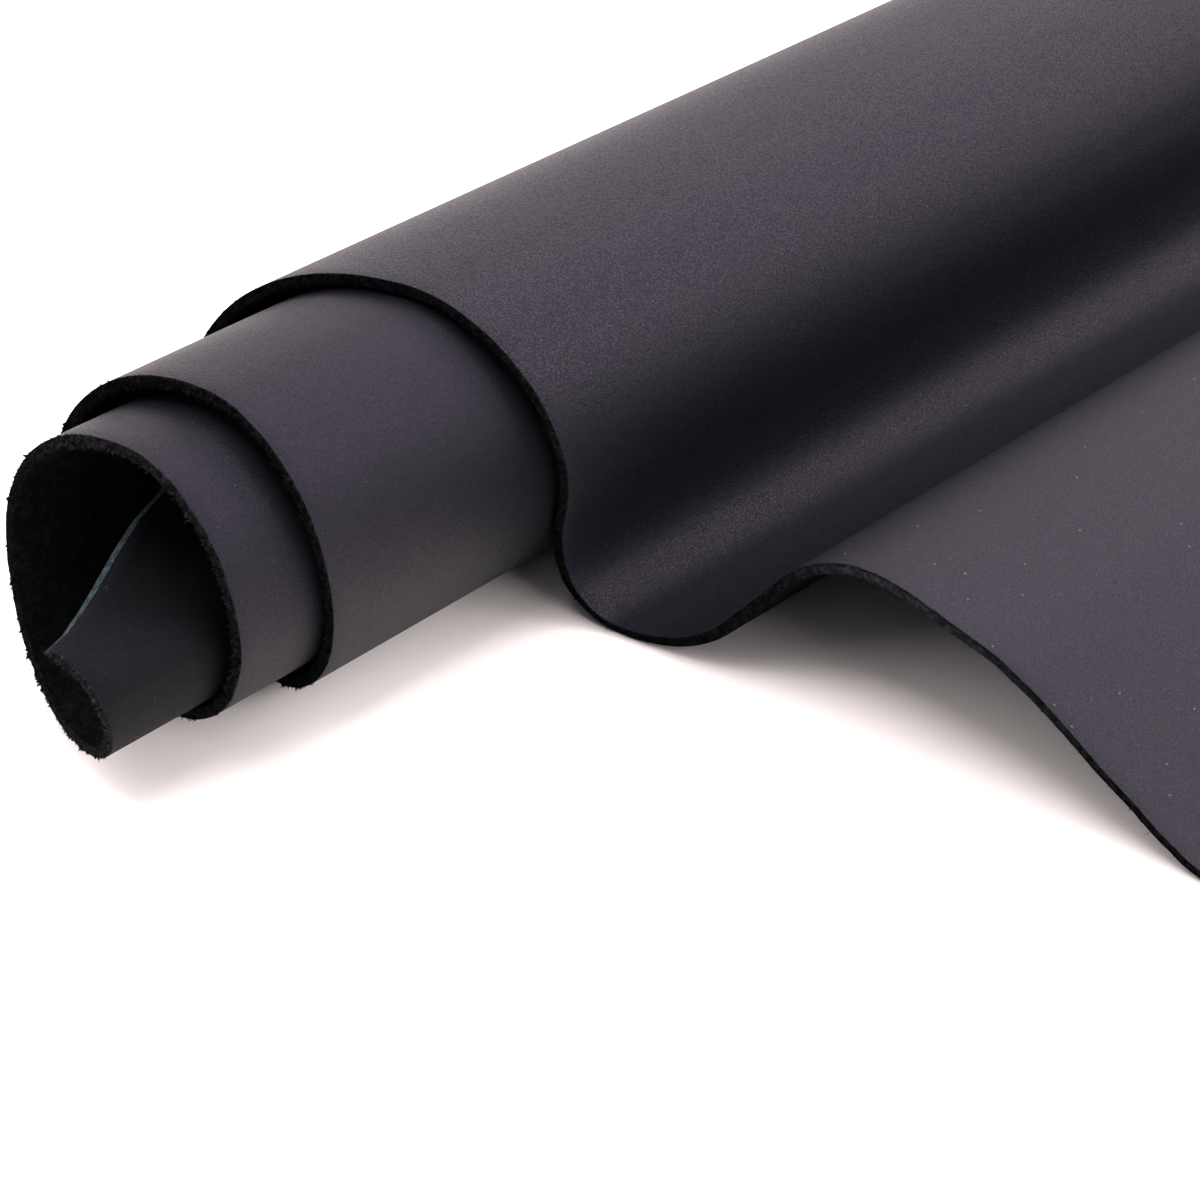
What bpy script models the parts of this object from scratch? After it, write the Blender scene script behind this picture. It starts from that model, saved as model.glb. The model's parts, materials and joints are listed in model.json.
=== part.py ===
"""A cut piece of thick black leather, rolled up askew from its inner end, with the loose end laid out
over a trough and a ridge. Blender 4.5, metres, +Z up. The roll lies along Y with its near end towards -Y,
and the loose end runs out towards +X."""

import math

import bmesh
import bpy
from mathutils import Vector
from mathutils.geometry import interpolate_bezier

MM = 0.001

THICKNESS = 2.2 * MM
WIDTH = 420 * MM  # across the flat piece, between its two long edges
END_CUT = 2.0  # how far the inner end's cut runs along the roll for each unit that it goes inwards
STEPS = 12  # facets from one place in PATH to the next
BANDS = 6  # facets across the piece

# The way of the grain side, from the loose end inwards, seen along the roll from its near end. x is from
# the middle of the roll and z from the floor, in mm. heading is where the leather goes on to, in degrees
# from +X towards +Z: 180 is over a crest, 270 down the roll's left side, and each turn adds 360. near is
# where the near edge lies along the roll, in mm, and lean is how far the piece drifts towards +X for each
# mm along the roll.
PATH = (
    # place, x, z, heading, near, lean
    ("loose end", 250, 2.2, 180, 86, 0.03),
    ("foot", 163, 2.2, 180, 79.5, 0.03),
    ("slope", 145.5, 10.5, 147, 78, 0.03),
    ("shoulder", 114, 29.5, 163, 74.5, 0.03),
    ("crest", 93, 34.4, 180, 72.5, 0.03),
    ("ridge side", 75, 25.5, 232, 70.2, 0.03),
    ("trough side", 64.3, 12.2, 232, 68, 0.03),
    ("trough", 42, 2.2, 180, 64, 0.03),
    ("undercut", 31.5, 13, 90, 60.5, 0.02),
    ("waist", 35, 27, 68, 57.2, 0.01),
    ("right 1", 38.5, 42.5, 90, 53.5, 0),
    ("top 1", 10, 71.5, 180, 41.5, 0),
    ("left 1", -32.5, 39, 270, 25.5, 0),
    ("bottom 1", -4, 0, 360, 12, 0),
    ("bottom 1 end", 1, 0, 360, 11, 0),
    ("right 2", 33, 40.5, 450, 2.5, 0),
    ("top 2", 9.5, 68.6, 540, -2, 0),
    ("left 2", -28, 35, 630, -9, 0),
    ("bottom 2", -1, 3.5, 720, -11.5, 0),
    ("right 3", 29, 36.5, 810, -14, 0),
    ("top 3", 8, 63.5, 900, -17.5, 0),
    ("left 3", -22, 38, 990, -23, 0),
    ("bottom 3", 0.5, 7, 1080, -30.5, 0),
    ("right 4", 22.5, 28, 1170, -37.5, 0),
    ("corner", 14, 38, 1249, -40.5, 0),
    ("top 4", -10.5, 46, 1260, -42, 0),
    ("inner end", -18, 43.5, 1300, -45, 0),
)
CORNER = [place for place, *_ in PATH].index("corner") * STEPS

LEATHER = {"colour": (0.022, 0.021, 0.024, 1.0), "roughness": 0.5, "metallic": 0.0}


def clear_scene():
    for old in list(bpy.data.objects):
        bpy.data.objects.remove(old, do_unlink=True)


def heading_of(row):
    angle = math.radians(row[3])
    return Vector((math.cos(angle), 0.0, math.sin(angle)))


def knot_of(row):
    return Vector((row[1], row[4], row[2])) * MM


def edge_slopes():
    """How fast the near edge runs along the roll at each place, from the places before and after it."""
    knots = [knot_of(row) for row in PATH]
    slopes = []
    for i in range(len(knots)):
        before = knots[max(i - 1, 0)]
        after = knots[min(i + 1, len(knots) - 1)]
        gone = (knots[i] - before).length + (after - knots[i]).length
        slopes.append((after.y - before.y) / gone)
    return slopes


def handle(row, chord, turn, slope):
    """A Bezier handle along the heading, of the length that makes a quarter turn a quarter of an ellipse."""
    reach = 4 / 3 * math.tan(turn / 4) / math.sin(turn) if turn > 0.001 else 1 / 3
    direction = heading_of(row)
    return (direction + Vector((0.0, slope, 0.0))) * reach * abs(chord.dot(direction))


def near_edge():
    """Points along the near edge as if the inner end were cut square, with the lean at each."""
    slopes = edge_slopes()
    points = []
    leans = []
    for i in range(len(PATH) - 1):
        row, after = PATH[i], PATH[i + 1]
        start, stop = knot_of(row), knot_of(after)
        chord = stop - start
        turn = abs(math.radians(after[3] - row[3]))
        first = start + handle(row, chord, turn, slopes[i])
        second = stop - handle(after, chord, turn, slopes[i + 1])
        points += interpolate_bezier(start, first, second, stop, STEPS + 1)[:STEPS]
        leans += [row[5] + (after[5] - row[5]) * step / STEPS for step in range(STEPS)]
    points.append(knot_of(PATH[-1]))
    leans.append(PATH[-1][5])
    return points, leans


def cut_offsets(points):
    """How far the inner end's slanted cut moves each point of the near edge along the roll."""
    offsets = [0.0] * len(points)
    inwards = 0.0
    for i in range(CORNER + 1, len(points)):
        step = points[i] - points[i - 1]
        inwards += math.hypot(step.x, step.z)
        offsets[i] = points[CORNER].y + END_CUT * inwards - points[i].y
    return offsets


def flat_piece(columns):
    """The piece as a flat grid, one column for each point of the near edge."""
    sheet = bmesh.new()
    bmesh.ops.create_grid(sheet, x_segments=columns, y_segments=BANDS, size=0.5)
    bmesh.ops.reverse_faces(sheet, faces=sheet.faces)
    return sheet


def roll_up(sheet, points, leans):
    """Moves each point of the flat piece to its place on the rolled one, its long edges still parallel."""
    offsets = cut_offsets(points)
    for vert in sheet.verts:
        column = round((vert.co.x + 0.5) * (len(points) - 1))
        across = vert.co.y + 0.5
        along_roll = offsets[column] + (WIDTH - offsets[column]) * across
        vert.co = points[column] + Vector((leans[column], 1.0, 0.0)) * along_roll


def centre(sheet):
    """Puts the middle of the piece's box over the origin."""
    for axis in (0, 1):
        places = [vert.co[axis] for vert in sheet.verts]
        middle = (min(places) + max(places)) / 2
        for vert in sheet.verts:
            vert.co[axis] -= middle


def leather():
    material = bpy.data.materials.new("black_leather")
    material.use_nodes = True
    shader = material.node_tree.nodes["Principled BSDF"]
    shader.inputs["Base Color"].default_value = LEATHER["colour"]
    shader.inputs["Roughness"].default_value = LEATHER["roughness"]
    shader.inputs["Metallic"].default_value = LEATHER["metallic"]
    return material


def hide():
    """The whole piece: its grain side as a surface, thickened towards the flesh side."""
    points, leans = near_edge()
    sheet = flat_piece(len(points) - 1)
    roll_up(sheet, points, leans)
    centre(sheet)
    mesh = bpy.data.meshes.new("hide")
    sheet.to_mesh(mesh)
    sheet.free()
    mesh.shade_smooth()
    mesh.materials.append(leather())
    piece = bpy.data.objects.new("hide", mesh)
    collection = bpy.data.collections.new("rolled_leather_hide")
    bpy.context.scene.collection.children.link(collection)
    collection.objects.link(piece)
    solidify = piece.modifiers.new("thickness", "SOLIDIFY")
    solidify.thickness = THICKNESS
    solidify.offset = -1.0
    solidify.use_even_offset = True
    return piece


clear_scene()
hide()
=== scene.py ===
"""Looks of a cut piece of thick black leather, rolled up askew from its inner end, its loose end laid out
over a trough and a ridge. Metres, +Z up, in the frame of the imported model."""

import json
import math
import random

import bmesh
import bpy
from mathutils import Matrix, Vector, noise
from mathutils.geometry import interpolate_bezier

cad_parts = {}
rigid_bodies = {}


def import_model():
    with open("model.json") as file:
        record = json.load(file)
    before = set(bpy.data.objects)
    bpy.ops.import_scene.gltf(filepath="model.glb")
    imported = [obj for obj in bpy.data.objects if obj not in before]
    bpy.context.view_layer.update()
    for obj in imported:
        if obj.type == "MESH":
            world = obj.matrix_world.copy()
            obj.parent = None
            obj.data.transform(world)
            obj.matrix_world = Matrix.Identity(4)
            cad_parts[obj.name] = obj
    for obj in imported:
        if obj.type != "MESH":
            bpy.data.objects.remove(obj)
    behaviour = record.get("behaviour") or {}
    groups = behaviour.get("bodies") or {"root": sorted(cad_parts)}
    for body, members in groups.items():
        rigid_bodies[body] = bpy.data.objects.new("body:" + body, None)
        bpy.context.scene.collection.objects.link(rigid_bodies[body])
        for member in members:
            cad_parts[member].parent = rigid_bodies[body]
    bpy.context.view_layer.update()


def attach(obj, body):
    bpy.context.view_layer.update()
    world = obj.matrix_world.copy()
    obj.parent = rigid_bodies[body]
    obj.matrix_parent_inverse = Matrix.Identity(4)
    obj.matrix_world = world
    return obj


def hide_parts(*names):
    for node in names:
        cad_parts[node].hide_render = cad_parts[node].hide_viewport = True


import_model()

MM = 0.001

# ---------------------------------------------------------------------------------------------------------
# The piece's sizes. It has the thickness, width and folds of its solid
# ---------------------------------------------------------------------------------------------------------

THICKNESS = 2.2 * MM
WIDTH = 420 * MM  # across the flat piece, between its two long edges
# The inner end's slanted cut, from its corner, in mm
SLANTED_CUT = (
    # inwards along the leather, along the roll
    (0, 0),
    (1.3, 4.9),
    (3.9, 10.7),
    (6.5, 15.6),
    (10.5, 22.6),
    (14.5, 30.3),
    (17.1, 37.7),
    (34, 72),
)

# The way of the grain side, from the loose end inwards, seen along the roll from its near end. x is from
# the middle of the roll and z from the floor, in mm. heading is where the leather goes on to, in degrees
# from +X towards +Z. near is where the near edge lies along the roll, and lean is the drift towards +X.
PATH = (
    # place, x, z, heading, near, lean
    ("loose end", 250, 2.2, 180, 86, 0.03),
    ("foot", 163, 2.2, 180, 79.5, 0.03),
    ("slope", 145.5, 10.5, 147, 78, 0.03),
    ("shoulder", 114, 29.5, 163, 74.5, 0.03),
    ("crest", 93, 34.4, 180, 72.5, 0.03),
    ("ridge side", 75, 25.5, 232, 70.2, 0.03),
    ("trough side", 64.3, 12.2, 232, 68, 0.03),
    ("trough", 42, 2.2, 180, 64, 0.03),
    ("undercut", 31.5, 13, 90, 60.5, 0.02),
    ("waist", 35, 27, 68, 57.2, 0.01),
    ("right 1", 38.5, 42.5, 90, 53.5, 0),
    ("top 1", 10, 71.5, 180, 41.5, 0),
    ("left 1", -32.5, 39, 270, 25.5, 0),
    ("bottom 1", -4, 0, 360, 12, 0),
    ("bottom 1 end", 1, 0, 360, 11, 0),
    ("right 2", 33, 40.5, 450, 2.5, 0),
    ("top 2", 9.5, 68.6, 540, -2, 0),
    ("left 2", -28, 35, 630, -9, 0),
    ("bottom 2", -1, 3.5, 720, -11.5, 0),
    ("right 3", 29, 36.5, 810, -14, 0),
    ("top 3", 8, 63.5, 900, -17.5, 0),
    ("left 3", -22, 38, 990, -23, 0),
    ("bottom 3", 0.5, 7, 1080, -30.5, 0),
    ("right 4", 22.5, 28, 1170, -37.5, 0),
    ("corner", 14, 38, 1249, -40.5, 0),
    ("top 4", -10.5, 46, 1260, -42, 0),
    ("inner end", -18, 43.5, 1300, -45, 0),
)
STEPS = 20  # facets from one place in PATH to the next
BANDS = 64  # facets across the piece
EDGE_BAND = 4 * MM  # width of the first facet along each long edge
PLACES = {row[0]: index * STEPS for index, row in enumerate(PATH)}  # each place's column
CORNER = PLACES["corner"]
MIDDLE = Vector((115.05, 232.75, 0.0)) * MM  # of the piece's box, seen from above
MAP_START = 0.4  # added across the flat piece's UV map, so that all of it lies above 0

SKIVE = 1.65 * MM  # how far the inner end's cut slopes out from the grain side to the flesh side
CUT_WANDER = 0.22 * MM  # how far the knife strays from a straight line
LONG_STRAYS = 120  # how many of its strays there are in a metre
SHORT_STRAYS = 420  # and of its shorter ones, which are half as wide
STRAY_REACH = 1.2 * EDGE_BAND  # how far in from the cut edges they are felt
SURFACE_WANDER = 0.10 * MM  # how far the piece swells and sinks between its folds
SWELLS_ALONG = 22  # how many swells there are in a metre of its length
SWELLS_ACROSS = 9  # and in a metre of its width
LEVEL_END = 0.03  # metres over which they grow from the loose end, which lies level
SWELLS_STOP = 0.62  # how far from the loose end they stop, in metres
SWELLS_FADE = 0.05  # metres over which they die away there
BEVEL = 0.22 * MM  # roundness of the cut corners

# The near edge: how far its flesh side lies back from its grain side, how long its fibres are (both in mm),
# how many tufts of them there are in each mm, and how grey they are, from 0 to 1
NEAR_EDGE = (
    # place, undercut, fibres, tufts, grey
    ("loose end", 0.75, 0.40, 2.5, 0.05),
    ("slope", 0.6, 0.42, 2.5, 0.12),
    ("shoulder", 0.3, 0.50, 3.0, 0.45),
    ("crest", 0.1, 0.50, 3.0, 0.60),
    ("ridge side", 0.5, 0.45, 3.0, 0.10),
    ("trough side", 0.9, 0.45, 3.0, 0.08),
    ("trough", 1.0, 0.50, 3.0, 0.05),
    ("undercut", -0.4, 0.60, 3.5, 0.05),
    ("waist", 0.1, 0.65, 3.5, 0.20),
    ("right 1", 0.0, 0.70, 4.0, 0.28),
    ("top 1", 0.0, 0.60, 4.0, 0.12),
    ("left 1", 0.0, 0.60, 4.0, 0.05),
    ("right 2", 0.0, 0.85, 4.5, 0.18),
    ("top 2", 0.0, 0.85, 4.5, 0.25),
    ("left 2", 0.0, 0.50, 6.0, 0.05),
    ("bottom 2", 0.0, 0.50, 8.0, 0.20),
    ("right 3", 0.0, 0.80, 7.5, 0.45),
    ("top 3", 0.0, 0.80, 8.0, 0.70),
    ("left 3", 0.0, 0.60, 13.0, 0.12),
    ("bottom 3", 0.0, 0.78, 12.0, 0.60),
    ("right 4", 0.0, 0.75, 11.0, 0.95),
    ("inner end", 0.0, 0.75, 11.0, 0.95),
)
UNDERCUT, FIBRE_LENGTH, TUFTS, GREYNESS = range(1, 5)  # the table's columns
FAR_EDGE_FUZZ = (0.6, 1.2, 0.2)  # fibres, tufts and grey of the far edge
OTHER_GREY = 0.15  # how grey the other cuts are
CREST_CORE = 0.22  # how much of the blue-grey core shows where the crest has rubbed the near edge
OTHER_CORE = 0.1  # and in the far edge and the loose end's own cut


# ---------------------------------------------------------------------------------------------------------
# The rolled surface
# ---------------------------------------------------------------------------------------------------------


def heading_of(row):
    angle = math.radians(row[3])
    return Vector((math.cos(angle), 0.0, math.sin(angle)))


def knot_of(row):
    return Vector((row[1], row[4], row[2])) * MM


def edge_slopes():
    """How fast the near edge runs along the roll at each place, from the places before and after it."""
    knots = [knot_of(row) for row in PATH]
    slopes = []
    for i in range(len(knots)):
        before = knots[max(i - 1, 0)]
        after = knots[min(i + 1, len(knots) - 1)]
        gone = (knots[i] - before).length + (after - knots[i]).length
        slopes.append((after.y - before.y) / gone)
    return slopes


def handle(row, chord, turn, slope):
    """A Bezier handle along the heading, so long that a quarter turn is a quarter of an ellipse."""
    reach = 4 / 3 * math.tan(turn / 4) / math.sin(turn) if turn > 0.001 else 1 / 3
    direction = heading_of(row)
    return (direction + Vector((0.0, slope, 0.0))) * reach * abs(chord.dot(direction))


def near_edge():
    """Points along the near edge as if the inner end were cut square, with the lean at each."""
    slopes = edge_slopes()
    points = []
    leans = []
    for i in range(len(PATH) - 1):
        row, after = PATH[i], PATH[i + 1]
        start, stop = knot_of(row), knot_of(after)
        chord = stop - start
        turn = abs(math.radians(after[3] - row[3]))
        first = start + handle(row, chord, turn, slopes[i])
        second = stop - handle(after, chord, turn, slopes[i + 1])
        points += interpolate_bezier(start, first, second, stop, STEPS + 1)[:STEPS]
        leans += [row[5] + (after[5] - row[5]) * step / STEPS for step in range(STEPS)]
    points.append(knot_of(PATH[-1]))
    leans.append(PATH[-1][5])
    return [point - MIDDLE for point in points], leans


def between(table, value):
    """The second column of a table, read off between its rows."""
    for (low, start), (high, stop) in zip(table, table[1:]):
        if value <= high:
            return start + (stop - start) * (value - low) / (high - low)
    return table[-1][1]


def along_near_edge(what, column):
    """One of the near edge's values at a column of the piece."""
    return between([(PLACES[row[0]], row[what]) for row in NEAR_EDGE], column)


def cut_offsets(points):
    """How far the inner end's slanted cut moves each point of the near edge along the roll."""
    offsets = [0.0] * len(points)
    inwards = 0.0
    for i in range(CORNER + 1, len(points)):
        step = points[i] - points[i - 1]
        inwards += math.hypot(step.x, step.z)
        offsets[i] = points[CORNER].y + between(SLANTED_CUT, inwards / MM) * MM - points[i].y
    return offsets


POINTS, LEANS = near_edge()
OFFSETS = cut_offsets(POINTS)
LAST = len(POINTS) - 1


def distances():
    """How far each column is from the loose end along the flat piece."""
    gone = [0.0]
    for i in range(LAST):
        step = POINTS[i + 1] - POINTS[i]
        gone.append(gone[-1] + math.hypot(step.x, step.z))
    return gone


GONE = distances()
LENGTH = GONE[-1]


def ruling(column):
    """The straight line across the piece at a column."""
    return Vector((LEANS[column], 1.0, 0.0))


def grain_normal(column):
    """Out of the grain side at a column."""
    before = POINTS[max(column - 1, 0)]
    after = POINTS[min(column + 1, LAST)]
    way = after - before
    way.y = 0.0
    return ruling(column).cross(way).normalized()


NORMALS = [grain_normal(column) for column in range(LAST + 1)]


def across_of(band):
    """Where a row of points lies across the piece, from 0 to 1. The rows along the long edges are close."""
    edge = EDGE_BAND / WIDTH
    if band == 0 or band == BANDS:
        return band / BANDS
    return edge + (1 - 2 * edge) * (band - 1) / (BANDS - 2)


def place(column, across, sunk=0.0):
    """A point of the piece: its column, how far across from the near edge, and how deep under the grain."""
    along = OFFSETS[column] + (WIDTH - OFFSETS[column]) * across
    return POINTS[column] + ruling(column) * along - NORMALS[column] * sunk


def stray(column, across):
    """The small unevenness of the real piece: its cut edges wander and its surface swells and sinks."""
    at_edge = max(0.0, 1 - min(across, 1 - across) * WIDTH / STRAY_REACH)
    end = 0.0 if across < 0.5 else 9.0
    long_strays = noise.noise(Vector((GONE[column] * LONG_STRAYS, end, 0.5)))
    short_strays = noise.noise(Vector((GONE[column] * SHORT_STRAYS, end, 3.5)))
    strayed = long_strays + 0.5 * short_strays
    swell = noise.noise(Vector((GONE[column] * SWELLS_ALONG, across * WIDTH * SWELLS_ACROSS, 7.5)))
    fading = max(0.0, (SWELLS_STOP - GONE[column]) / SWELLS_FADE)
    shown = min(1.0, GONE[column] / LEVEL_END, fading)
    lifted = NORMALS[column] * SURFACE_WANDER * swell * shown
    return ruling(column) * CUT_WANDER * strayed * at_edge + lifted


def deselect():
    for other in bpy.context.view_layer.objects:
        other.select_set(False)


def make_active(piece):
    deselect()
    piece.select_set(True)
    bpy.context.view_layer.objects.active = piece


def apply_all(piece):
    make_active(piece)
    for modifier in list(piece.modifiers):
        bpy.ops.object.modifier_apply(modifier=modifier.name)


def new_piece(name, sheet):
    mesh = bpy.data.meshes.new(name)
    sheet.to_mesh(mesh)
    sheet.free()
    piece = bpy.data.objects.new(name, mesh)
    bpy.context.scene.collection.objects.link(piece)
    return piece


def roll_up():
    """The grain side as a fine grid, rolled up, with its flat lengths kept as a UV map, and the points
    along its edges with their columns and how far across they are."""
    sheet = bmesh.new()
    bmesh.ops.create_grid(sheet, x_segments=LAST, y_segments=BANDS, size=0.5)
    bmesh.ops.reverse_faces(sheet, faces=sheet.faces)
    flat = sheet.loops.layers.uv.new("flat_piece")
    spots = {}
    edge = {}
    for vert in sheet.verts:
        column = round((vert.co.x + 0.5) * LAST)
        across = across_of(round((vert.co.y + 0.5) * BANDS))
        along = OFFSETS[column] + (WIDTH - OFFSETS[column]) * across
        spots[vert.index] = (GONE[column] / LENGTH, (POINTS[column].y + along) / LENGTH + MAP_START)
        vert.co = place(column, across) + stray(column, across)
        if across in (0, 1) or column in (0, LAST):
            edge[vert.index] = (column, across)
    for face in sheet.faces:
        for loop in face.loops:
            loop[flat].uv = spots[loop.vert.index]
    return sheet, edge


# ---------------------------------------------------------------------------------------------------------
# Finishes
# ---------------------------------------------------------------------------------------------------------


PEBBLES = 2200.0  # of the grain in a metre of the piece's length
DRAWN_OUT = 0.6  # times as many in a metre of its width, as they are longer that way
GRAIN_DEPTH = 0.14 * MM
MEAN_TOPS = 0.51  # the grain's mean top, which keeps the polish as strong where the grain is softened
ROLL_GRAIN = 0.55  # how much of the grain shows in the polish of the trough and the roll
LOOSE_GRAIN = 0.3  # and in that of the loose end, where the grain lies flatter
ON_THE_ROLL = 0.18  # how much lint lies in the trough and on the roll, as against 1 on the loose end
LINT_CELLS = 190.0  # cells along the piece in which a speck of lint may lie
LINT_SHARE = 0.12  # the share of the cells that have one
MOTTLE = 0.04  # how far the dullness goes up and down over the surface
CREASE_DULLNESS = 0.12  # how much duller the creases are
FLESH_FIBRES = 1600.0  # in a metre of the flesh side
CUT_FIBRES = 2600.0  # in a metre of the cut edge


def node(tree, kind, x, y, **settings):
    made = tree.nodes.new(kind)
    made.location = (x, y)
    for name, value in settings.items():
        setattr(made, name, value)
    return made


def grain_group():
    """Fine pebbled grain: low crinkled pebbles with narrow creases between them, and a broad mottle."""
    tree = bpy.data.node_groups.new("fine_grain", "ShaderNodeTree")
    face = tree.interface
    face.new_socket("Place", in_out="INPUT", socket_type="NodeSocketVector")
    face.new_socket("Pebbles per metre", in_out="INPUT", socket_type="NodeSocketFloat")
    face.new_socket("Height", in_out="OUTPUT", socket_type="NodeSocketFloat")
    face.new_socket("Crease", in_out="OUTPUT", socket_type="NodeSocketFloat")
    face.new_socket("Tops", in_out="OUTPUT", socket_type="NodeSocketFloat")
    face.new_socket("Mottle", in_out="OUTPUT", socket_type="NodeSocketFloat")
    given = node(tree, "NodeGroupInput", -1200, 0)
    out = node(tree, "NodeGroupOutput", 900, 0)

    scaled = node(tree, "ShaderNodeVectorMath", -1000, 0, operation="SCALE")
    tree.links.new(given.outputs["Place"], scaled.inputs[0])
    tree.links.new(given.outputs["Pebbles per metre"], scaled.inputs["Scale"])

    # the pebbles' outlines are pushed about, so that they crinkle
    push = node(tree, "ShaderNodeTexNoise", -1000, -300)
    push.inputs["Scale"].default_value = 0.9
    push.inputs["Detail"].default_value = 2.0
    tree.links.new(scaled.outputs[0], push.inputs["Vector"])
    centred = node(tree, "ShaderNodeVectorMath", -800, -300, operation="SUBTRACT")
    centred.inputs[1].default_value = (0.5, 0.5, 0.5)
    tree.links.new(push.outputs["Color"], centred.inputs[0])
    small = node(tree, "ShaderNodeVectorMath", -620, -300, operation="SCALE")
    small.inputs["Scale"].default_value = 1.5
    tree.links.new(centred.outputs[0], small.inputs[0])
    moved = node(tree, "ShaderNodeVectorMath", -450, -100, operation="ADD")
    tree.links.new(scaled.outputs[0], moved.inputs[0])
    tree.links.new(small.outputs[0], moved.inputs[1])

    pebble = node(tree, "ShaderNodeTexVoronoi", -250, 100, feature="DISTANCE_TO_EDGE")
    pebble.inputs["Scale"].default_value = 1.0
    tree.links.new(moved.outputs[0], pebble.inputs["Vector"])
    dome = node(tree, "ShaderNodeMapRange", -60, 100, interpolation_type="SMOOTHERSTEP")
    dome.inputs["From Max"].default_value = 0.32
    tree.links.new(pebble.outputs["Distance"], dome.inputs["Value"])

    crinkle = node(tree, "ShaderNodeTexNoise", -250, -150)
    crinkle.inputs["Scale"].default_value = 1.7
    crinkle.inputs["Detail"].default_value = 3.0
    crinkle.inputs["Roughness"].default_value = 0.55
    tree.links.new(moved.outputs[0], crinkle.inputs["Vector"])

    both = node(tree, "ShaderNodeMath", 150, 50, operation="MULTIPLY_ADD")
    both.inputs[1].default_value = 0.55
    tree.links.new(dome.outputs["Result"], both.inputs[0])
    tree.links.new(crinkle.outputs["Fac"], both.inputs[2])
    tree.links.new(both.outputs[0], out.inputs["Height"])

    crease = node(tree, "ShaderNodeMapRange", 150, 250)
    crease.inputs["From Max"].default_value = 0.12
    crease.inputs["To Min"].default_value = 1.0
    crease.inputs["To Max"].default_value = 0.0
    tree.links.new(pebble.outputs["Distance"], crease.inputs["Value"])
    tree.links.new(crease.outputs["Result"], out.inputs["Crease"])

    flat_top = node(tree, "ShaderNodeMapRange", 150, 450, interpolation_type="SMOOTHSTEP")
    flat_top.inputs["From Min"].default_value = 0.04
    flat_top.inputs["From Max"].default_value = 0.24
    tree.links.new(pebble.outputs["Distance"], flat_top.inputs["Value"])
    patchy = node(tree, "ShaderNodeMapRange", 150, 650)
    patchy.inputs["From Min"].default_value = 0.35
    patchy.inputs["From Max"].default_value = 0.65
    patchy.inputs["To Min"].default_value = 0.7
    tree.links.new(crinkle.outputs["Fac"], patchy.inputs["Value"])
    tops = node(tree, "ShaderNodeMath", 350, 550, operation="MULTIPLY")
    tree.links.new(flat_top.outputs["Result"], tops.inputs[0])
    tree.links.new(patchy.outputs["Result"], tops.inputs[1])
    tree.links.new(tops.outputs[0], out.inputs["Tops"])

    broad = node(tree, "ShaderNodeTexNoise", 150, -300)
    broad.inputs["Scale"].default_value = 0.02
    broad.inputs["Detail"].default_value = 4.0
    tree.links.new(scaled.outputs[0], broad.inputs["Vector"])
    tree.links.new(broad.outputs["Fac"], out.inputs["Mottle"])
    return tree


def fibre_group():
    """Cut fibres of the flesh side and the edges: a matted, directionless nap."""
    tree = bpy.data.node_groups.new("matted_fibres", "ShaderNodeTree")
    face = tree.interface
    face.new_socket("Place", in_out="INPUT", socket_type="NodeSocketVector")
    face.new_socket("Fibres per metre", in_out="INPUT", socket_type="NodeSocketFloat")
    face.new_socket("Height", in_out="OUTPUT", socket_type="NodeSocketFloat")
    face.new_socket("Tips", in_out="OUTPUT", socket_type="NodeSocketFloat")
    given = node(tree, "NodeGroupInput", -900, 0)
    out = node(tree, "NodeGroupOutput", 600, 0)
    scaled = node(tree, "ShaderNodeVectorMath", -700, 0, operation="SCALE")
    tree.links.new(given.outputs["Place"], scaled.inputs[0])
    tree.links.new(given.outputs["Fibres per metre"], scaled.inputs["Scale"])
    clumps = node(tree, "ShaderNodeTexNoise", -450, 150)
    clumps.inputs["Scale"].default_value = 0.35
    clumps.inputs["Detail"].default_value = 3.0
    clumps.inputs["Distortion"].default_value = 0.8
    tree.links.new(scaled.outputs[0], clumps.inputs["Vector"])
    hairs = node(tree, "ShaderNodeTexNoise", -450, -150)
    hairs.inputs["Scale"].default_value = 1.4
    hairs.inputs["Detail"].default_value = 4.0
    hairs.inputs["Distortion"].default_value = 1.6
    tree.links.new(scaled.outputs[0], hairs.inputs["Vector"])
    ridge = node(tree, "ShaderNodeMath", -250, -150, operation="SUBTRACT")
    ridge.inputs[1].default_value = 0.5
    tree.links.new(hairs.outputs["Fac"], ridge.inputs[0])
    thin = node(tree, "ShaderNodeMath", -80, -150, operation="ABSOLUTE")
    tree.links.new(ridge.outputs[0], thin.inputs[0])
    height = node(tree, "ShaderNodeMath", 150, 50, operation="SUBTRACT")
    tree.links.new(clumps.outputs["Fac"], height.inputs[0])
    tree.links.new(thin.outputs[0], height.inputs[1])
    tree.links.new(height.outputs[0], out.inputs["Height"])
    tips = node(tree, "ShaderNodeMapRange", 350, 50)
    tips.inputs["From Min"].default_value = 0.38
    tips.inputs["From Max"].default_value = 0.62
    tree.links.new(height.outputs[0], tips.inputs["Value"])
    tree.links.new(tips.outputs["Result"], out.inputs["Tips"])
    return tree


GRAIN = grain_group()
FIBRES = fibre_group()


def two_tones(tree, dark, pale, x, y):
    """A mix of two colours, with its factor left open."""
    mix = node(tree, "ShaderNodeMix", x, y, data_type="RGBA")
    mix.inputs["A"].default_value = dark
    mix.inputs["B"].default_value = pale
    return mix


def bump(tree, height, shader, strength, depth, x, y):
    made = node(tree, "ShaderNodeBump", x, y)
    made.inputs["Strength"].default_value = strength
    made.inputs["Distance"].default_value = depth
    tree.links.new(height, made.inputs["Height"])
    tree.links.new(made.outputs["Normal"], shader.inputs["Normal"])


def new_material(name):
    material = bpy.data.materials.new(name)
    material.use_nodes = True
    return material, material.node_tree, material.node_tree.nodes["Principled BSDF"]


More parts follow.
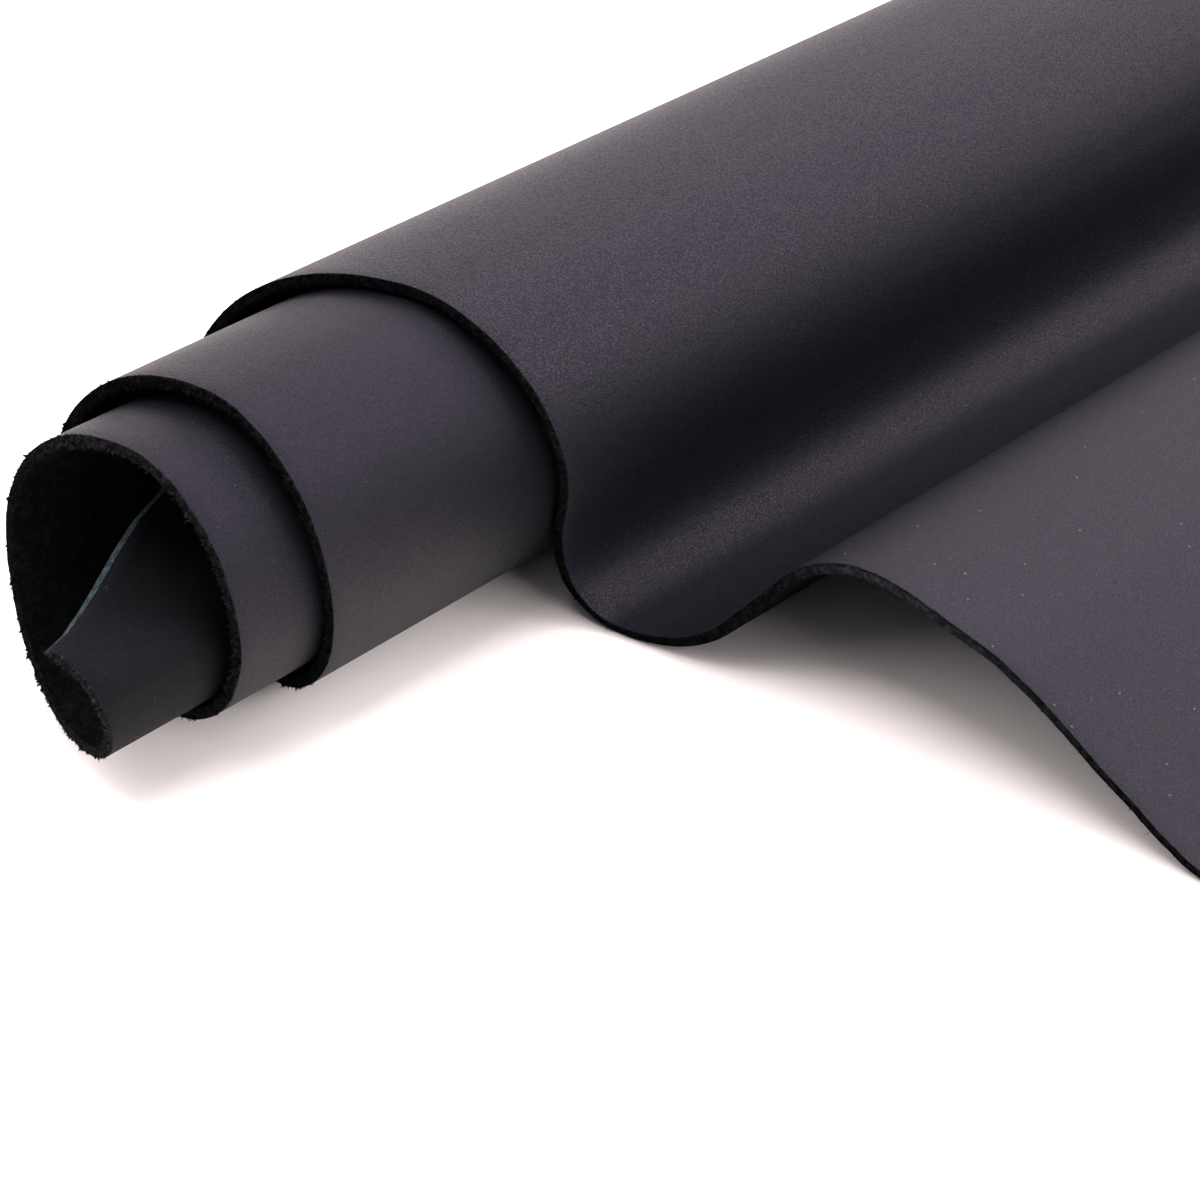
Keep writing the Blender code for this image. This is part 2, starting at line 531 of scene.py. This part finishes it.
def open_part(tree, flat):
    """A factor that is 1 on the loose end and falls to ON_THE_ROLL in the trough and on the roll."""
    lain = node(tree, "ShaderNodeSeparateXYZ", -800, 1000)
    tree.links.new(flat.outputs["UV"], lain.inputs[0])
    part = node(tree, "ShaderNodeMapRange", -600, 1000)
    part.inputs["From Min"].default_value = GONE[PLACES["trough side"]] / LENGTH
    part.inputs["From Max"].default_value = GONE[PLACES["trough"]] / LENGTH
    part.inputs["To Min"].default_value = 1.0
    part.inputs["To Max"].default_value = ON_THE_ROLL
    tree.links.new(lain.outputs["X"], part.inputs["Value"])
    return part.outputs["Result"]


def lint(tree, flat, part):
    """Lint and dust: one pale speck in a few of many small cells, most of them on the loose end."""
    dust = node(tree, "ShaderNodeTexVoronoi", -1000, 600, feature="F1", voronoi_dimensions="2D")
    dust.inputs["Scale"].default_value = LINT_CELLS
    tree.links.new(flat.outputs["UV"], dust.inputs["Vector"])
    dot = node(tree, "ShaderNodeMapRange", -800, 600)
    dot.inputs["From Min"].default_value = 0.022
    dot.inputs["From Max"].default_value = 0.055
    dot.inputs["To Min"].default_value = 1.0
    dot.inputs["To Max"].default_value = 0.0
    tree.links.new(dust.outputs["Distance"], dot.inputs["Value"])
    chance = node(tree, "ShaderNodeSeparateColor", -800, 800)
    tree.links.new(dust.outputs["Color"], chance.inputs["Color"])
    few = node(tree, "ShaderNodeMath", -600, 800, operation="GREATER_THAN")
    few.inputs[1].default_value = 1.0 - LINT_SHARE
    tree.links.new(chance.outputs["Red"], few.inputs[0])
    there = node(tree, "ShaderNodeMath", -500, 700, operation="MULTIPLY")
    tree.links.new(few.outputs[0], there.inputs[0])
    tree.links.new(part, there.inputs[1])
    speck = node(tree, "ShaderNodeMath", -350, 700, operation="MULTIPLY")
    tree.links.new(dot.outputs["Result"], speck.inputs[0])
    tree.links.new(there.outputs[0], speck.inputs[1])
    return speck.outputs[0]


def dyed_colour(tree, shader, grain, specks):
    """Near-black dye, with painted shade darkening its creases, and the pale lint over it."""
    colour = two_tones(tree, (0.0010, 0.0014, 0.0016, 1.0), (0.0016, 0.0022, 0.0024, 1.0), -600, 300)
    tree.links.new(grain.outputs["Mottle"], colour.inputs["Factor"])
    # painted shade: the creases are mixed towards black, standing in for the shade that falls into them
    painted_crease_shade = two_tones(tree, (0.0, 0.0, 0.0, 1.0), (0.0006, 0.0008, 0.0009, 1.0), -400, 300)
    tree.links.new(colour.outputs["Result"], painted_crease_shade.inputs["A"])
    tree.links.new(grain.outputs["Crease"], painted_crease_shade.inputs["Factor"])
    dusty = two_tones(tree, (0.0, 0.0, 0.0, 1.0), (0.075, 0.078, 0.08, 1.0), -150, 300)
    tree.links.new(painted_crease_shade.outputs["Result"], dusty.inputs["A"])
    tree.links.new(specks, dusty.inputs["Factor"])
    tree.links.new(dusty.outputs["Result"], shader.inputs["Base Color"])


def polished_tops(tree, shader, grain, part, polish):
    """The pebbles' tops take the polish, on the loose end more evenly than on the roll."""
    uneven = node(tree, "ShaderNodeMapRange", -600, -800)
    uneven.inputs["From Min"].default_value = ON_THE_ROLL
    uneven.inputs["To Min"].default_value = ROLL_GRAIN
    uneven.inputs["To Max"].default_value = LOOSE_GRAIN
    tree.links.new(part, uneven.inputs["Value"])
    topped = node(tree, "ShaderNodeMix", -500, -600, data_type="FLOAT")
    topped.inputs["A"].default_value = MEAN_TOPS
    tree.links.new(uneven.outputs["Result"], topped.inputs["Factor"])
    tree.links.new(grain.outputs["Tops"], topped.inputs["B"])
    coated = node(tree, "ShaderNodeMath", -300, -600, operation="MULTIPLY")
    coated.inputs[1].default_value = polish
    tree.links.new(topped.outputs["Result"], coated.inputs[0])
    tree.links.new(coated.outputs[0], shader.inputs["Coat Weight"])


def dull_creases(tree, shader, grain, dullness):
    """A broad unevenness in how dull the surface is, and duller creases."""
    gloss = node(tree, "ShaderNodeMapRange", -600, -100)
    gloss.inputs["To Min"].default_value = dullness - MOTTLE
    gloss.inputs["To Max"].default_value = dullness + MOTTLE
    tree.links.new(grain.outputs["Mottle"], gloss.inputs["Value"])
    dull = node(tree, "ShaderNodeMath", -400, -100, operation="MULTIPLY_ADD")
    dull.inputs[1].default_value = CREASE_DULLNESS
    tree.links.new(grain.outputs["Crease"], dull.inputs[0])
    tree.links.new(gloss.outputs["Result"], dull.inputs[2])
    tree.links.new(dull.outputs[0], shader.inputs["Roughness"])


def grain_leather(name, shine, dullness, tint, polish, relief):
    """The dyed grain side: near-black with a slight violet cast, semi-matte, its tops polished."""
    material, tree, shader = new_material(name)
    shader.inputs["Specular IOR Level"].default_value = shine
    shader.inputs["Specular Tint"].default_value = tint
    shader.inputs["Coat Roughness"].default_value = dullness
    flat = node(tree, "ShaderNodeUVMap", -1400, 0, uv_map="flat_piece")
    drawn_out = node(tree, "ShaderNodeVectorMath", -1200, 0, operation="MULTIPLY")
    drawn_out.inputs[1].default_value = (1.0, DRAWN_OUT, 1.0)
    tree.links.new(flat.outputs["UV"], drawn_out.inputs[0])
    grain = node(tree, "ShaderNodeGroup", -1000, 0, node_tree=GRAIN)
    grain.inputs["Pebbles per metre"].default_value = PEBBLES * LENGTH
    tree.links.new(drawn_out.outputs[0], grain.inputs["Place"])
    part = open_part(tree, flat)
    dyed_colour(tree, shader, grain, lint(tree, flat, part))
    polished_tops(tree, shader, grain, part, polish)
    dull_creases(tree, shader, grain, dullness)
    bump(tree, grain.outputs["Height"], shader, relief, GRAIN_DEPTH, -300, -350)
    return material


def matted(tree, shader, per_metre, depth):
    """A matted nap for a shader: its bumps, and a factor that is high at the tips of the fibres."""
    shader.inputs["Roughness"].default_value = 1.0
    shader.inputs["Specular IOR Level"].default_value = 0.0
    where = node(tree, "ShaderNodeTexCoord", -1200, 0)
    nap = node(tree, "ShaderNodeGroup", -900, 0, node_tree=FIBRES)
    nap.inputs["Fibres per metre"].default_value = per_metre
    tree.links.new(where.outputs["Object"], nap.inputs["Place"])
    bump(tree, nap.outputs["Height"], shader, 0.9, depth, -300, -250)
    return nap.outputs["Tips"]


def flesh():
    """The dyed flesh side: dull black suede, a little paler at the tips of its nap."""
    material, tree, shader = new_material("flesh_side")
    tips = matted(tree, shader, FLESH_FIBRES, 0.5 * MM)
    colour = two_tones(tree, (0.0031, 0.0042, 0.0038, 1.0), (0.0074, 0.0092, 0.0086, 1.0), -400, 200)
    tree.links.new(tips, colour.inputs["Factor"])
    tree.links.new(colour.outputs["Result"], shader.inputs["Base Color"])
    return material


def cut():
    """The cut edge: black fibres, greyer where they are rubbed up, and the core where it shows."""
    material, tree, shader = new_material("cut_edge")
    tips = matted(tree, shader, CUT_FIBRES, 0.4 * MM)
    black = two_tones(tree, (0.0012, 0.0016, 0.0015, 1.0), (0.0052, 0.0062, 0.0060, 1.0), -500, 300)
    tree.links.new(tips, black.inputs["Factor"])
    rubbed = two_tones(tree, (0.0060, 0.0062, 0.0066, 1.0), (0.0280, 0.0278, 0.0298, 1.0), -500, 0)
    tree.links.new(tips, rubbed.inputs["Factor"])
    grey = node(tree, "ShaderNodeAttribute", -700, -200, attribute_name="grey")
    fibres = two_tones(tree, (0.0, 0.0, 0.0, 1.0), (1.0, 1.0, 1.0, 1.0), -350, 200)
    tree.links.new(black.outputs["Result"], fibres.inputs["A"])
    tree.links.new(rubbed.outputs["Result"], fibres.inputs["B"])
    tree.links.new(grey.outputs["Fac"], fibres.inputs["Factor"])
    blue_grey = two_tones(tree, (0.022, 0.034, 0.037, 1.0), (0.058, 0.084, 0.092, 1.0), -500, 600)
    tree.links.new(tips, blue_grey.inputs["Factor"])

    depth = node(tree, "ShaderNodeAttribute", -1200, 700, attribute_name="depth")
    core = node(tree, "ShaderNodeAttribute", -1200, 900, attribute_name="core")
    band = node(tree, "ShaderNodeFloatCurve", -900, 700)
    curve = band.mapping.curves[0]
    curve.points[0].location = (0.0, 0.0)
    curve.points[1].location = (1.0, 0.25)
    curve.points.new(0.12, 0.1)
    curve.points.new(0.28, 1.0)
    curve.points.new(0.72, 1.0)
    tree.links.new(depth.outputs["Fac"], band.inputs["Value"])
    shown = node(tree, "ShaderNodeMath", -700, 800, operation="MULTIPLY")
    tree.links.new(band.outputs["Value"], shown.inputs[0])
    tree.links.new(core.outputs["Fac"], shown.inputs[1])
    colour = two_tones(tree, (0.0, 0.0, 0.0, 1.0), (1.0, 1.0, 1.0, 1.0), -200, 400)
    tree.links.new(fibres.outputs["Result"], colour.inputs["A"])
    tree.links.new(blue_grey.outputs["Result"], colour.inputs["B"])
    tree.links.new(shown.outputs[0], colour.inputs["Factor"])
    tree.links.new(colour.outputs["Result"], shader.inputs["Base Color"])
    return material


def floor_finish():
    material, _, shader = new_material("pale_floor")
    shader.inputs["Base Color"].default_value = (0.86, 0.866, 0.815, 1.0)
    shader.inputs["Roughness"].default_value = 0.8
    shader.inputs["Specular IOR Level"].default_value = 0.2
    return material


GRAIN_SIDE = grain_leather(
    "grain_side", shine=0.13, dullness=0.51, tint=(0.60, 0.53, 1.0, 1.0), polish=0.46, relief=1.0
)
MIDDLE_GRAIN = grain_leather(
    "middle_grain_side", shine=0.175, dullness=0.50, tint=(0.72, 0.68, 0.96, 1.0), polish=0.13, relief=0.45
)
# A copy of the grain side with weaker shine, less polish and more dullness for the innermost turn: painted
# shade inside the roll's mouth
SHADED_INNER_GRAIN = grain_leather(
    "inner_grain_painted_shade", shine=0.085, dullness=0.60, tint=(0.78, 0.78, 0.94, 1.0), polish=0.05, relief=0.25
)
FLESH_SIDE = flesh()
CUT_EDGE = cut()
FINISHES = (GRAIN_SIDE, FLESH_SIDE, CUT_EDGE, MIDDLE_GRAIN, SHADED_INNER_GRAIN)
FLESH, CUT, MIDDLE_TURNS, INNER_TURN = range(1, 5)  # their places in that list, after the grain side


# ---------------------------------------------------------------------------------------------------------
# The hide
# ---------------------------------------------------------------------------------------------------------


def outwards_of_cut(column):
    """Along the piece's surface, straight out of its slanted cut."""
    along_cut = place(min(column + 1, LAST), 0.0) - place(max(column - 1, CORNER), 0.0)
    along_cut.normalize()
    inside = ruling(column)
    return (along_cut * inside.dot(along_cut) - inside).normalized()


def flesh_shift(column):
    """How the near edge's flesh side lies off from square under its grain side."""
    if column >= CORNER:
        return outwards_of_cut(column) * SKIVE
    return ruling(column) * along_near_edge(UNDERCUT, column) * MM


def bare_core(column, across):
    """How much of the leather's blue-grey core shows in its cut, from 0 to 1."""
    if column == LAST or (column >= CORNER and across == 0):
        return 1.0
    crest = PLACES["crest"]
    reach = crest - PLACES["slope"] if column < crest else PLACES["ridge side"] - crest
    nearness = 1 - abs(column - crest) / reach
    return CREST_CORE * max(0.0, nearness) if across == 0 else OTHER_CORE


def shape_cuts(piece, edge, grain_points):
    """Leans the near edge's cut, and keeps how deep, how bare and how grey each point of the edges is."""
    depth = piece.data.attributes.new("depth", "FLOAT", "POINT")
    core = piece.data.attributes.new("core", "FLOAT", "POINT")
    grey = piece.data.attributes.new("grey", "FLOAT", "POINT")
    for index, (column, across) in edge.items():
        depth.data[index + grain_points].value = 1.0
        core.data[index].value = core.data[index + grain_points].value = bare_core(column, across)
        fuzzy = along_near_edge(GREYNESS, column) if across == 0 and column <= CORNER else OTHER_GREY
        grey.data[index].value = grey.data[index + grain_points].value = fuzzy
        if across == 0:
            piece.data.vertices[index + grain_points].co += flesh_shift(column)
        if column == CORNER and across == 0:
            core.data[index + grain_points].value = 0.0


def hide():
    """The whole piece, thickened from its grain side towards its flesh side, with its cuts shaped."""
    sheet, edge = roll_up()
    piece = new_piece("rolled_hide", sheet)
    for material in FINISHES:
        piece.data.materials.append(material)
    for face in piece.data.polygons:
        column = face.index % LAST
        # the innermost turn takes the dull copy of the grain side, painted shade inside the roll
        if column >= PLACES["bottom 3"]:
            face.material_index = INNER_TURN
        elif column >= PLACES["bottom 1"]:
            face.material_index = MIDDLE_TURNS
    solidify = piece.modifiers.new("thickness", "SOLIDIFY")
    solidify.thickness = THICKNESS
    solidify.offset = -1.0
    solidify.use_even_offset = True
    grain_points = len(piece.data.vertices)
    grain_faces = len(piece.data.polygons)
    apply_all(piece)
    for face in piece.data.polygons[grain_faces:]:
        face.material_index = FLESH if face.index < 2 * grain_faces else CUT
    shape_cuts(piece, edge, grain_points)
    corners = piece.modifiers.new("cut corners", "BEVEL")
    corners.width = BEVEL
    corners.segments = 2
    corners.limit_method = "ANGLE"
    corners.angle_limit = math.radians(60)
    corners.material = CUT
    apply_all(piece)
    piece.data.shade_smooth()
    return piece


rolled_hide = hide()


# ---------------------------------------------------------------------------------------------------------
# Fibres that stand out of the cut edges
# ---------------------------------------------------------------------------------------------------------


def strand_shape(sides, rings, bend):
    """One fibre along +Z, one unit long and one unit thick at its root, bent towards +X."""
    points = []
    faces = []
    for ring in range(rings):
        up = ring / rings
        thick = 0.5 * (1 - up) ** 0.7
        for side in range(sides):
            angle = math.tau * side / sides
            points.append((math.cos(angle) * thick, math.sin(angle) * thick, up, bend * up * up))
    points.append((0.0, 0.0, 1.0, bend))
    for ring in range(rings - 1):
        for side in range(sides):
            a = ring * sides + side
            b = ring * sides + (side + 1) % sides
            faces.append((a, b, b + sides, a + sides))
    top = (rings - 1) * sides
    for side in range(sides):
        faces.append((top + side, top + (side + 1) % sides, top + sides))
    faces.append(tuple(reversed(range(sides))))
    return points, faces


HAIR = strand_shape(sides=3, rings=2, bend=0.3)
ROOTED = 0.2  # how deep a fibre's root lies in the leather, in mm
LONGEST_TUFT = 1.3  # in mm
LONG_FIBRES = (1.3, 2.4)  # from how short to how long the single long fibres are, in mm
LONG_FIBRE_SHARE = 0.05  # how often a column of the edge has one
OVER_THE_CORNER = 0.28  # at most this share of the tufts lies over the corner onto the grain side
UNEVENNESS = 330  # how often in a metre of the edge its tufts grow longer and shorter


class Strands:
    """Many fibres gathered into one mesh."""

    def __init__(self, seed):
        self.chance = random.Random(seed)
        self.verts = []
        self.faces = []
        self.tones = []

    def add(self, root, way, length, thick, tone):
        """One fibre from its root along its way."""
        turn = Matrix.Rotation(self.chance.uniform(0, math.tau), 3, "Z")
        turned = way.to_track_quat("Z", "Y").to_matrix() @ turn
        first = len(self.verts)
        for x, y, z, bent in HAIR[0]:
            point = root + turned @ Vector((x * thick + bent * length, y * thick, z * length))
            point.z = max(point.z, 0.0)
            self.verts.append(point)
            self.tones.append(tone * (0.6 + 0.6 * z))
        for face in HAIR[1]:
            self.faces.append(tuple(first + corner for corner in face))

    def piece(self, name, material):
        mesh = bpy.data.meshes.new(name)
        mesh.from_pydata(self.verts, [], self.faces)
        mesh.update()
        mesh.shade_smooth()
        mesh.materials.append(material)
        tone = mesh.attributes.new("tone", "FLOAT", "POINT")
        tone.data.foreach_set("value", self.tones)
        piece = bpy.data.objects.new(name, mesh)
        bpy.context.scene.collection.objects.link(piece)
        return piece


def tuft(strands, column, across, depth, splay, size, grey):
    """One tuft of the cut's fibres: a thick one in the middle, and thinner ones that lean to it."""
    chance = strands.chance
    root = place(column, across, THICKNESS * depth).lerp(
        place(column + 1, across, THICKNESS * depth), chance.random()
    )
    if across == 0:
        root += flesh_shift(column) * depth
    tangent = (POINTS[column + 1] - POINTS[column]).normalized()
    normal = NORMALS[column]
    outwards = ruling(column) * (1.0 if across else -1.0)
    way = (outwards + normal * splay + tangent * chance.gauss(0, 0.4)).normalized()
    root -= way * ROOTED * MM
    tip = root + way * size
    tone = grey * chance.choice((0.3, 0.5, 0.7, 1.0, 1.6))
    strands.add(root, way, size * 0.85, size * chance.uniform(0.45, 0.85), tone * 0.7)
    for _ in range(2):
        off = (tangent * chance.gauss(0, 0.26) + normal * chance.gauss(0, 0.2)) * MM
        aim = (tip + off * 0.35 - (root + off)) * chance.uniform(0.8, 1.3)
        strands.add(root + off, aim.normalized(), aim.length, chance.uniform(0.08, 0.16) * MM, tone)


def long_fibre(strands, column, across):
    """One long fibre that stands out on its own."""
    chance = strands.chance
    outwards = ruling(column) * (1.0 if across else -1.0)
    way = (outwards + NORMALS[column] * chance.gauss(0.2, 0.6)).normalized()
    root = place(column, across, THICKNESS * chance.uniform(0.1, 0.9)) - way * ROOTED * MM
    length = chance.uniform(*LONG_FIBRES) * MM
    strands.add(root, way, length, 0.09 * MM, chance.choice((0.1, 0.3, 1.5)))


def edge_fuzz(name, across, seed, columns):
    """Tufts of fibres along one long edge. Some lie over the corner onto the grain side."""
    strands = Strands(seed)
    chance = strands.chance
    for column in columns:
        length, tufts, grey = FAR_EDGE_FUZZ
        if across == 0:
            length = along_near_edge(FIBRE_LENGTH, column)
            tufts = along_near_edge(TUFTS, column)
            grey = along_near_edge(GREYNESS, column)
        wanted = (GONE[column + 1] - GONE[column]) / MM * tufts
        for _ in range(int(wanted) + (chance.random() < wanted % 1)):
            uneven = 0.75 + 0.7 * noise.noise(Vector((GONE[column] * UNEVENNESS, across, 1.5)))
            size = min(LONGEST_TUFT, length * uneven * chance.lognormvariate(-0.1, 0.35)) * MM
            if chance.random() < OVER_THE_CORNER * min(1.0, length):
                tuft(strands, column, across, 0.04, chance.uniform(0.9, 2.6), size * 0.9, grey * 0.7)
            else:
                depth = chance.uniform(0.06, 0.97)
                splay = 1.5 * (0.5 - depth) + chance.gauss(0, 0.3)
                tuft(strands, column, across, depth, splay, size, grey)
        if chance.random() < LONG_FIBRE_SHARE:
            long_fibre(strands, column, across)
    return strands.piece(name, FIBRE)


def flesh_nap(name, seed, columns, per_mm2, width):
    """Nap of the flesh side along the near edge of the inner turns, where the roll's mouth shows it."""
    strands = Strands(seed)
    chance = strands.chance
    for column in columns:
        area = (GONE[column + 1] - GONE[column]) / MM * width / MM
        for _ in range(int(area * per_mm2)):
            in_from_edge = width * chance.random() ** 1.6
            point = place(column, 0.0, THICKNESS * 1.01).lerp(
                place(column + 1, 0.0, THICKNESS * 1.01), chance.random()
            )
            tangent = (POINTS[column + 1] - POINTS[column]).normalized()
            inside = ruling(column)
            way = inside * chance.uniform(-1.1, 0.2) - NORMALS[column] * 0.75
            way = (way + tangent * chance.gauss(0, 0.5)).normalized()
            root = point + inside * in_from_edge - way * 0.1 * MM
            length = chance.uniform(0.4, 1.0) * MM
            thick = chance.uniform(0.06, 0.14) * MM
            strands.add(root, way, length, thick, chance.choice((0.05, 0.1, 0.2, 0.4)))
    return strands.piece(name, FIBRE)


def fibre_finish():
    """Single fibres: near-black and dull, some a little paler."""
    material, tree, shader = new_material("loose_fibres")
    shader.inputs["Roughness"].default_value = 0.9
    shader.inputs["Specular IOR Level"].default_value = 0.03
    tone = node(tree, "ShaderNodeAttribute", -700, 0, attribute_name="tone")
    colour = two_tones(tree, (0.0008, 0.0010, 0.0010, 1.0), (0.0340, 0.0345, 0.0365, 1.0), -400, 0)
    tree.links.new(tone.outputs["Fac"], colour.inputs["Factor"])
    tree.links.new(colour.outputs["Result"], shader.inputs["Base Color"])
    return material


FIBRE = fibre_finish()
near_fuzz = edge_fuzz("near_edge_fibres", across=0, seed=11, columns=range(CORNER))
far_fuzz = edge_fuzz("far_edge_fibres", across=1, seed=12, columns=range(LAST))
mouth_nap = flesh_nap(
    "mouth_nap", seed=13, columns=range(PLACES["top 2"], CORNER), per_mm2=2.6, width=7 * MM
)


# ---------------------------------------------------------------------------------------------------------
# Each piece joins the root body, and the imported hide is hidden
# ---------------------------------------------------------------------------------------------------------

for piece in (rolled_hide, near_fuzz, far_fuzz, mouth_nap):
    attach(piece, "root")
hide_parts("hide")


# ---------------------------------------------------------------------------------------------------------
# Floor, light and camera
# ---------------------------------------------------------------------------------------------------------


FLOOR_SIZE = 3.2
FLOOR_DROP = 0.2 * MM  # how far the floor lies under the leather, so that the two don't coincide
LENS = 81.9  # mm, on a sensor 36 mm wide
CAMERA_PLACE = (0.21035, -0.47125, 0.2975)
CAMERA_DIP = 34.9  # degrees that the camera looks down
CAMERA_TURN = 43.6  # degrees that it is turned from +Y towards -X
SURROUNDINGS = 0.106  # how bright they are as a light
BACKDROP = 1.1  # how bright they are to the camera


def floor():
    deselect()
    bpy.ops.mesh.primitive_plane_add(size=FLOOR_SIZE, location=(0.0, 0.0, -FLOOR_DROP))
    plane = bpy.context.object
    plane.name = "floor"
    plane.data.materials.append(floor_finish())


LIGHT_TINT = (1.07, 0.952, 1.0)
SOFT_LIGHTS = (
    # name, azimuth from +X, elevation, watts
    ("low back right", 37, 12, 8.3),
    ("back right", 46, 34, 15.0),
    ("above back right", 70, 51, 13.4),
    ("above back left", 109, 51, 11.8),
    ("back left", 133, 35, 7.1),
    ("low back left", 143, 12, 4.1),
    ("right", 5, 30, 21.1),
    ("left", 180, 30, 12.3),
    ("near left", 235, 45, 12.4),
    ("near right", 305, 50, 2.4),
    ("overhead", 270, 84, 29.1),
)
LIGHT_DISTANCE = 1.5
LIGHT_WIDTH = 0.7
LIGHT_LENGTH = 1.5


def soft_light(name, azimuth, elevation, watts):
    """A soft box that faces the leather, its long side towards the roll's far end."""
    around, up = math.radians(azimuth), math.radians(elevation)
    way = Vector((math.cos(up) * math.cos(around), math.cos(up) * math.sin(around), math.sin(up)))
    long_side = (Vector((0.0, 1.0, 0.0)) - way * way.y).normalized()
    lamp = bpy.data.lights.new(name, "AREA")
    lamp.shape = "RECTANGLE"
    lamp.size = LIGHT_WIDTH
    lamp.size_y = LIGHT_LENGTH
    lamp.energy = watts
    lamp.color = LIGHT_TINT
    made = bpy.data.objects.new(name, lamp)
    turned = Matrix((long_side.cross(way), long_side, way)).transposed()
    made.matrix_world = Matrix.Translation(way * LIGHT_DISTANCE) @ turned.to_4x4()
    made.visible_camera = False
    bpy.context.scene.collection.objects.link(made)


def camera():
    lens = bpy.data.cameras.new("camera")
    lens.lens = LENS
    lens.sensor_width = 36.0
    lens.clip_start = 0.01
    made = bpy.data.objects.new("camera", lens)
    made.location = CAMERA_PLACE
    made.rotation_euler = (math.radians(90 - CAMERA_DIP), 0.0, math.radians(CAMERA_TURN))
    bpy.context.scene.collection.objects.link(made)
    bpy.context.scene.camera = made


def studio_world():
    """Dim surroundings for the light, and plain white to the camera."""
    world = bpy.data.worlds.new("studio")
    world.use_nodes = True
    tree = world.node_tree
    surroundings = tree.nodes["Background"]
    surroundings.inputs["Color"].default_value = (1.0, 0.97, 0.97, 1.0)
    rays = node(tree, "ShaderNodeLightPath", -600, 0)
    strength = node(tree, "ShaderNodeMapRange", -300, 0)
    strength.inputs["To Min"].default_value = SURROUNDINGS
    strength.inputs["To Max"].default_value = BACKDROP
    tree.links.new(rays.outputs["Is Camera Ray"], strength.inputs["Value"])
    tree.links.new(strength.outputs["Result"], surroundings.inputs["Strength"])
    return world


floor()
bpy.context.scene.world = studio_world()
for row in SOFT_LIGHTS:
    soft_light(*row)
camera()
bpy.context.scene.view_settings.view_transform = "Standard"
